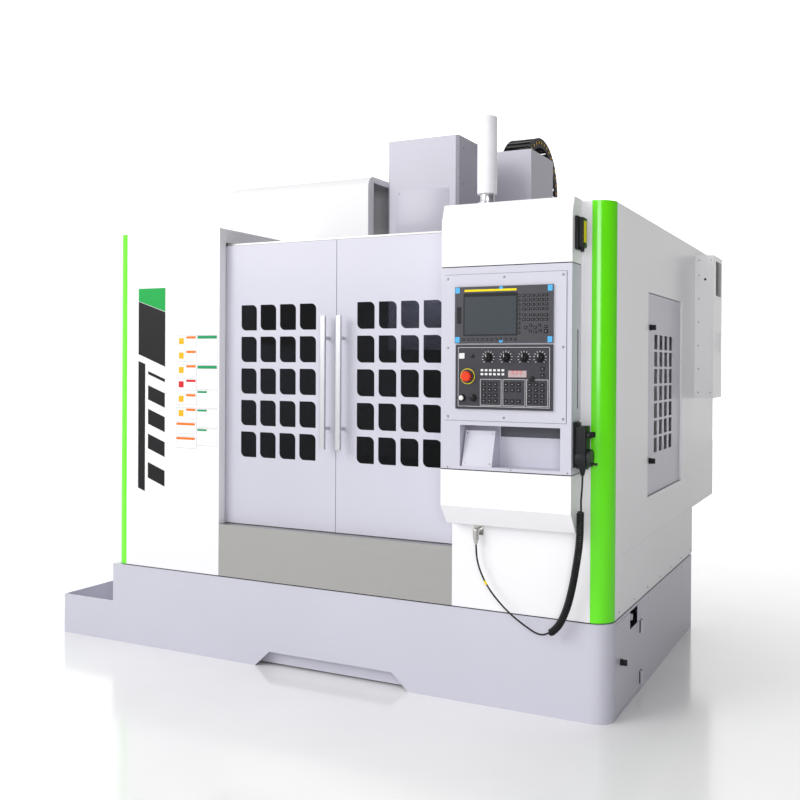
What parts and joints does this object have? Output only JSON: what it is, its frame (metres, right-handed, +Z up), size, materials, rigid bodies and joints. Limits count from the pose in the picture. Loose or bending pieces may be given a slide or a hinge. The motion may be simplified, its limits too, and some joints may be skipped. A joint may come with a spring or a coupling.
{
  "type": "machining center",
  "caption": "Enclosed vertical machining centre with sliding front doors, side tool magazine, moving table and spindle head, control box, wired hand pendant and rear cabinet.",
  "frame": {"origin": "centre of the machine's footprint on the floor, measured over the chip tray, the cooling unit, the control panel and the rear cabinet", "axes": "+Z up; +Y from the front doors to the back; +X to the operator's right, along the table's long travel"},
  "size_m": [2.866, 2.3896, 2.618],
  "materials": {
    "white_panel": "white powder coat, semi-gloss",
    "grey_base": "light grey powder coat, satin",
    "lavender_grey": "light lavender-grey powder coat, satin",
    "green_paint": "bright green powder coat, gloss",
    "stainless": "brushed stainless sheet",
    "black_metal": "black powder coat, satin",
    "black_plastic": "matt moulded plastic",
    "grey_plastic": "matt moulded plastic",
    "white_plastic": "glossy moulded plastic",
    "red_plastic": "glossy moulded plastic",
    "dark_glass": "grey tinted safety glass",
    "cast_iron": "painted and machined casting",
    "steel": "ground steel",
    "handle_metal": "satin anodised bar",
    "cord_rubber": "matt rubber sheath",
    "lamp_plastic": "frosted white acrylic tube"
  },
  "bodies": {
    "frame": {"ac_unit": "white_panel", "apron_panel": "stainless", "base_skirt": "grey_base", "bed_with_y_motor": "cast_iron", "cable_chain": "black_plastic", "column_cover": "lavender_grey", "column_with_z_motor": "cast_iron", "control_bottom_cover": "white_panel", "control_box": "lavender_grey", "control_fascia": "lavender_grey", "control_top_cover": "white_panel", "cord_curl": "cord_rubber", "cord_lead": "cord_rubber", "cord_plug": "handle_metal", "cord_tail": "cord_rubber", "corner_posts": "green_paint", "display_unit": "grey_plastic", "door_rails": "stainless", "electrical_cabinet": "white_panel", "left_front_panel": "white_panel", "left_side_panel": "white_panel", "magazine_cover": "white_panel", "operator_panel": "black_plastic", "pendant_body": "black_plastic", "pendant_holder": "black_metal", "right_front_panel": "white_panel", "right_side_panel": "white_panel", "signal_light": "lamp_plastic", "splash_walls": "white_panel"},
    "left_door": {"door_left": "lavender_grey", "window_left": "dark_glass", "handle_left": "handle_metal"},
    "right_door": {"door_right": "lavender_grey", "window_right": "dark_glass", "handle_right": "handle_metal"},
    "saddle": {"saddle_with_x_motor": "cast_iron"},
    "table": {"table": "steel"},
    "head": {"head_with_spindle_motor": "cast_iron", "head_cover": "lavender_grey"},
    "spindle": {"spindle": "steel"},
    "x_screw": {"x_screw": "steel"},
    "y_screw": {"y_screw": "steel"},
    "z_screw": {"z_screw": "steel"},
    "magazine": {"tool_magazine": "black_metal"},
    "base_door": {"base_door": "lavender_grey"},
    "base_latch": {"base_door_latch": "black_metal"},
    "vent_door": {"vent_door": "lavender_grey"},
    "vent_latch_lower": {"vent_latch_lower": "black_plastic"},
    "vent_latch_upper": {"vent_latch_upper": "black_plastic"},
    "cabinet_door": {"cabinet_door": "white_panel"},
    "estop": {"estop_button": "red_plastic"},
    "display_keys": {"display_keys": "grey_plastic"},
    "panel_keys": {"panel_keys": "grey_plastic"},
    "mode_knob": {"mode_knob": "black_plastic"},
    "rapid_knob": {"rapid_knob": "black_plastic"},
    "feed_knob": {"feed_knob": "black_plastic"},
    "spindle_knob": {"spindle_knob": "black_plastic"},
    "pendant_wheel": {"pendant_wheel": "grey_plastic"},
    "pendant_axis_knob": {"pendant_axis_knob": "black_plastic"},
    "pendant_step_knob": {"pendant_step_knob": "black_plastic"}
  },
  "joints": [
    {"name": "left_door_slide", "type": "slide", "parent": "frame", "child": "left_door", "axis": [-1, 0, 0], "range_m": [0, 0.5]},
    {"name": "right_door_slide", "type": "slide", "parent": "frame", "child": "right_door", "axis": [1, 0, 0], "range_m": [0, 0.5]},
    {"name": "saddle_slide", "type": "slide", "parent": "frame", "child": "saddle", "axis": [0, 1, 0], "range_m": [-0.25, 0.25]},
    {"name": "table_slide", "type": "slide", "parent": "saddle", "child": "table", "axis": [1, 0, 0], "range_m": [-0.375, 0.375]},
    {"name": "head_slide", "type": "slide", "parent": "frame", "child": "head", "axis": [0, 0, 1], "range_m": [-0.32, 0.18]},
    {"name": "spindle_spin", "type": "hinge", "parent": "head", "child": "spindle", "pos_m": [0.121, -0.0272, 1.27], "axis": [0, 0, 1], "continuous": true},
    {"name": "y_screw_spin", "type": "hinge", "parent": "frame", "child": "y_screw", "pos_m": [0.121, -0.0272, 0.532], "axis": [0, 1, 0], "range_deg": [-5700, 5700]},
    {"name": "x_screw_spin", "type": "hinge", "parent": "saddle", "child": "x_screw", "pos_m": [0.121, -0.0272, 0.6653], "axis": [1, 0, 0], "range_deg": [-8500, 8500]},
    {"name": "z_screw_spin", "type": "hinge", "parent": "frame", "child": "z_screw", "pos_m": [0.121, 0.4868, 1.5], "axis": [0, 0, 1], "range_deg": [-4100, 7300]},
    {"name": "magazine_turn", "type": "hinge", "parent": "frame", "child": "magazine", "pos_m": [-0.579, -0.0972, 1.9], "axis": [0, 1, 0], "continuous": true},
    {"name": "base_door_hinge", "type": "hinge", "parent": "frame", "child": "base_door", "pos_m": [1.3485, -0.5782, 0.187], "axis": [0, 0, 1], "range_deg": [0, 100]},
    {"name": "base_latch_turn", "type": "hinge", "parent": "base_door", "child": "base_latch", "pos_m": [1.339, -0.8952, 0.203], "axis": [1, 0, 0], "range_deg": [0, 90]},
    {"name": "vent_door_hinge", "type": "hinge", "parent": "frame", "child": "vent_door", "pos_m": [1.328, 0.2782, 1.221], "axis": [0, 0, 1], "range_deg": [0, 105]},
    {"name": "vent_latch_lower_turn", "type": "hinge", "parent": "vent_door", "child": "vent_latch_lower", "pos_m": [1.327, -0.3752, 0.933], "axis": [1, 0, 0], "range_deg": [0, 90]},
    {"name": "vent_latch_upper_turn", "type": "hinge", "parent": "vent_door", "child": "vent_latch_upper", "pos_m": [1.327, -0.3752, 1.51], "axis": [1, 0, 0], "range_deg": [0, 90]},
    {"name": "cabinet_door_hinge", "type": "hinge", "parent": "frame", "child": "cabinet_door", "pos_m": [0.536, 1.1948, 1.29], "axis": [0, 0, 1], "range_deg": [0, 110]},
    {"name": "estop_press", "type": "slide", "parent": "frame", "child": "estop", "axis": [0, 1, 0], "range_m": [0, 0.004], "stiffness_N_per_m": 2000},
    {"name": "display_keys_press", "type": "slide", "parent": "frame", "child": "display_keys", "axis": [0, 1, 0], "range_m": [0, 0.001], "stiffness_N_per_m": 2000},
    {"name": "panel_keys_press", "type": "slide", "parent": "frame", "child": "panel_keys", "axis": [0, 1, 0], "range_m": [0, 0.001], "stiffness_N_per_m": 2000},
    {"name": "mode_knob_turn", "type": "hinge", "parent": "frame", "child": "mode_knob", "pos_m": [0.897, -1.1672, 1.372], "axis": [0, 1, 0], "range_deg": [-135, 135]},
    {"name": "rapid_knob_turn", "type": "hinge", "parent": "frame", "child": "rapid_knob", "pos_m": [0.969, -1.1672, 1.372], "axis": [0, 1, 0], "range_deg": [-135, 135]},
    {"name": "feed_knob_turn", "type": "hinge", "parent": "frame", "child": "feed_knob", "pos_m": [1.041, -1.1672, 1.372], "axis": [0, 1, 0], "range_deg": [-150, 150]},
    {"name": "spindle_knob_turn", "type": "hinge", "parent": "frame", "child": "spindle_knob", "pos_m": [1.103, -1.1672, 1.372], "axis": [0, 1, 0], "range_deg": [-135, 135]},
    {"name": "pendant_wheel_turn", "type": "hinge", "parent": "frame", "child": "pendant_wheel", "pos_m": [1.271, -1.1072, 1.003], "axis": [1, 0, 0], "continuous": true},
    {"name": "pendant_axis_turn", "type": "hinge", "parent": "frame", "child": "pendant_axis_knob", "pos_m": [1.271, -1.1272, 1.088], "axis": [1, 0, 0], "range_deg": [-90, 90]},
    {"name": "pendant_step_turn", "type": "hinge", "parent": "frame", "child": "pendant_step_knob", "pos_m": [1.271, -1.0872, 1.088], "axis": [1, 0, 0], "range_deg": [-75, 75]}
  ],
  "couplings": [
    {"joint": "y_screw_spin", "follows": "saddle_slide", "rad_per_m": -392.7},
    {"joint": "x_screw_spin", "follows": "table_slide", "rad_per_m": -392.7},
    {"joint": "z_screw_spin", "follows": "head_slide", "rad_per_m": -392.7}
  ]
}
